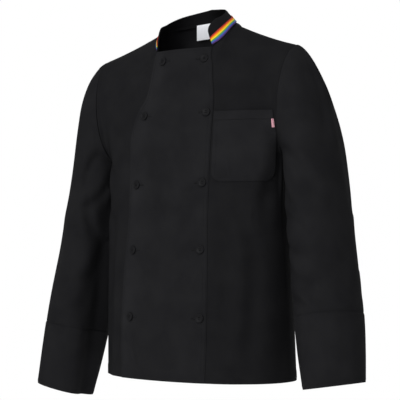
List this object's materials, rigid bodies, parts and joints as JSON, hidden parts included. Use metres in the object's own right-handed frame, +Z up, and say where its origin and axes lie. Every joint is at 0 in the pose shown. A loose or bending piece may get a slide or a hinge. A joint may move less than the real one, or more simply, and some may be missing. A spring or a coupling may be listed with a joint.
{
  "type": "chef jacket",
  "caption": "Black double-breasted chef jacket with a striped ribbon round its stand collar, long cuffed sleeves and a chest pocket, hollow as worn.",
  "frame": {"origin": "midway between the two points where the shoulder seams meet the collar, at the base of the neck", "axes": "+Z up along the wearer's neck, the front faces -Y, the wearer's left is +X"},
  "size_m": [0.7853, 0.2667, 0.8237],
  "materials": {
    "black_twill": "matt black cotton twill",
    "rainbow_ribbon": "woven ribbon in six stripes, red to violet",
    "black_plastic": "satin black resin button",
    "white_label": "plain white woven label",
    "pink_tag": "plain pale tag with red edges"
  },
  "bodies": {
    "root": {"back": "black_twill", "button_left_1": "black_plastic", "button_left_2": "black_plastic", "button_left_3": "black_plastic", "button_left_4": "black_plastic", "button_left_5": "black_plastic", "button_right_1": "black_plastic", "button_right_2": "black_plastic", "button_right_3": "black_plastic", "button_right_4": "black_plastic", "button_right_5": "black_plastic", "chest_pocket": "black_twill", "collar": "black_twill", "collar_ribbon": "rainbow_ribbon", "cuff_left": "black_twill", "cuff_right": "black_twill", "front_left": "black_twill", "front_right": "black_twill", "neck_label": "white_label", "overlap_panel": "black_twill", "pocket_tag": "pink_tag", "sleeve_left": "black_twill", "sleeve_right": "black_twill"}
  },
  "joints": []
}
